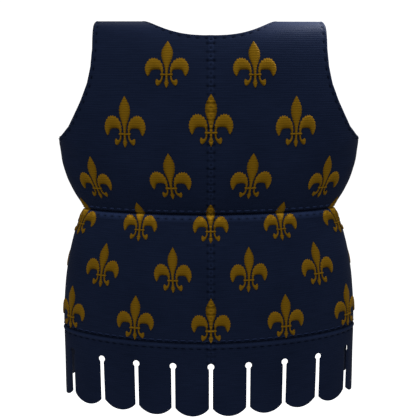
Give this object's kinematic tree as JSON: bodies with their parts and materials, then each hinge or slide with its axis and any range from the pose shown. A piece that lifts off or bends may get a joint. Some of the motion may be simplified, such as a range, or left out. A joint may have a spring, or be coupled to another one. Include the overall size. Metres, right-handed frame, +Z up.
{
  "type": "jupon",
  "caption": "Sleeveless close over-garment of padded cloth, filled out as worn, with a full chest, tight waist, round skirt and a hem band cut into round-ended dags.",
  "frame": {"origin": "midway between the tops of the two shoulder seams, where the wearer's shoulders carry the garment", "axes": "+Z up, the front faces -Y, +X to the wearer's left"},
  "size_m": [0.5918, 0.28, 0.7339],
  "materials": {
    "navy_cloth": "ribbed wool cloth, soft sheen",
    "gold_thread": "satin stitch in gold silk"
  },
  "bodies": {
    "root": {"chest_front_left": "navy_cloth", "chest_front_right": "navy_cloth", "chest_back_left": "navy_cloth", "chest_back_right": "navy_cloth", "skirt_front_left": "navy_cloth", "skirt_front_right": "navy_cloth", "skirt_back_left": "navy_cloth", "skirt_back_right": "navy_cloth", "hem_band_front_left": "navy_cloth", "hem_band_front_right": "navy_cloth", "hem_band_back_left": "navy_cloth", "hem_band_back_right": "navy_cloth"}
  },
  "joints": []
}
